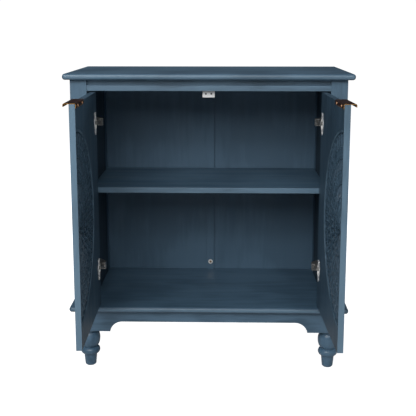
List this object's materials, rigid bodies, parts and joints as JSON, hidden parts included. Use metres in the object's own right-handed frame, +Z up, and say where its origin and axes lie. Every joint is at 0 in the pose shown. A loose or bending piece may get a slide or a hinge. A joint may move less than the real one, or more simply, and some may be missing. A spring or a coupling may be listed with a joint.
{
  "type": "two-door storage cabinet",
  "caption": "Free-standing storage cabinet on turned feet, two inset doors with carved half-round panels standing open, one shelf, arched apron.",
  "frame": {"origin": "on the floor, under the middle of the cabinet with its doors open as they stand at rest", "axes": "+Z up, +Y from the doors towards the back, +X to the right seen from the front"},
  "size_m": [0.8, 0.6854, 0.864],
  "materials": {
    "painted_wood": "slate blue paint over wood board, semi-matt",
    "painted_feet": "slate blue paint over turned wood, semi-matt",
    "painted_relief": "slate blue paint over carved board, semi-matt",
    "painted_back": "slate blue paint over thin board, matt",
    "raw_blocks": "bare softwood",
    "antique_bronze": "dark antique bronze with edges worn to gold",
    "copper_screw": "copper-toned screw heads",
    "nickel_steel": "nickel plated pressed steel",
    "zinc_steel": "zinc plated steel",
    "white_plastic": "moulded white plastic",
    "magnet_steel": "dark magnet ends"
  },
  "bodies": {
    "carcass": {"apron_back": "painted_wood", "apron_front": "painted_wood", "apron_left": "painted_wood", "apron_right": "painted_wood", "back_batten": "painted_back", "back_panel_left": "painted_back", "back_panel_right": "painted_back", "back_post_left": "painted_wood", "back_post_right": "painted_wood", "back_screw": "zinc_steel", "back_washer": "zinc_steel", "bottom_board": "painted_wood", "catch_body": "white_plastic", "catch_magnets": "magnet_steel", "catch_screws": "zinc_steel", "corner_blocks": "raw_blocks", "foot_back_left": "painted_feet", "foot_back_right": "painted_feet", "foot_bolts": "zinc_steel", "foot_front_left": "painted_feet", "foot_front_right": "painted_feet", "front_post_left": "painted_wood", "front_post_right": "painted_wood", "hinge_arm_lower_left": "nickel_steel", "hinge_arm_lower_right": "nickel_steel", "hinge_arm_upper_left": "nickel_steel", "hinge_arm_upper_right": "nickel_steel", "hinge_plate_lower_left": "nickel_steel", "hinge_plate_lower_right": "nickel_steel", "hinge_plate_screws": "zinc_steel", "hinge_plate_upper_left": "nickel_steel", "hinge_plate_upper_right": "nickel_steel", "shelf": "painted_wood", "shelf_pins": "nickel_steel", "side_lining_left": "painted_wood", "side_lining_right": "painted_wood", "side_panel_left": "painted_wood", "side_panel_right": "painted_wood", "side_rails": "painted_wood", "top_board": "painted_wood", "top_rail_back": "painted_wood", "top_rail_front": "painted_wood"},
    "door_left": {"cup_screws_left": "zinc_steel", "door_medallion_left": "painted_relief", "door_panel_left": "painted_wood", "hinge_cup_lower_left": "nickel_steel", "hinge_cup_upper_left": "nickel_steel", "pull_left": "antique_bronze", "pull_screws_left": "copper_screw"},
    "door_right": {"cup_screws_right": "zinc_steel", "door_medallion_right": "painted_relief", "door_panel_right": "painted_wood", "hinge_cup_lower_right": "nickel_steel", "hinge_cup_upper_right": "nickel_steel", "pull_right": "antique_bronze", "pull_screws_right": "copper_screw"},
    "outer_links_left": {"hinge_outer_links_left": "nickel_steel"},
    "outer_links_right": {"hinge_outer_links_right": "nickel_steel"},
    "inner_links_left": {"hinge_inner_links_left": "nickel_steel"},
    "inner_links_right": {"hinge_inner_links_right": "nickel_steel"}
  },
  "joints": [
    {"name": "door_left_swing", "type": "hinge", "parent": "carcass", "child": "door_left", "pos_m": [-0.3265, -0.01734, 0.5065], "axis": [0, 0, -1], "range_deg": [-89, 5]},
    {"name": "door_right_swing", "type": "hinge", "parent": "carcass", "child": "door_right", "pos_m": [0.3265, -0.01734, 0.5065], "axis": [0, 0, 1], "range_deg": [-92, 2]},
    {"name": "outer_links_left_turn", "type": "hinge", "parent": "carcass", "child": "outer_links_left", "pos_m": [-0.3059, 0.00246, 0.5065], "axis": [0, 0, 1], "range_deg": [-33.92, 2.85]},
    {"name": "inner_links_left_turn", "type": "hinge", "parent": "carcass", "child": "inner_links_left", "pos_m": [-0.3012, 0.00306, 0.5065], "axis": [0, 0, 1], "range_deg": [-45.24, 3.48]},
    {"name": "outer_links_right_turn", "type": "hinge", "parent": "carcass", "child": "outer_links_right", "pos_m": [0.3059, 0.00246, 0.5065], "axis": [0, 0, -1], "range_deg": [-35.03, 1.74]},
    {"name": "inner_links_right_turn", "type": "hinge", "parent": "carcass", "child": "inner_links_right", "pos_m": [0.3012, 0.00306, 0.5065], "axis": [0, 0, -1], "range_deg": [-46.73, 1.99]}
  ],
  "couplings": [
    {"joint": "outer_links_left_turn", "follows": "door_left_swing", "ratio": 0.36988},
    {"joint": "inner_links_left_turn", "follows": "door_left_swing", "ratio": 0.49707},
    {"joint": "outer_links_right_turn", "follows": "door_right_swing", "ratio": 0.36988},
    {"joint": "inner_links_right_turn", "follows": "door_right_swing", "ratio": 0.49707}
  ]
}
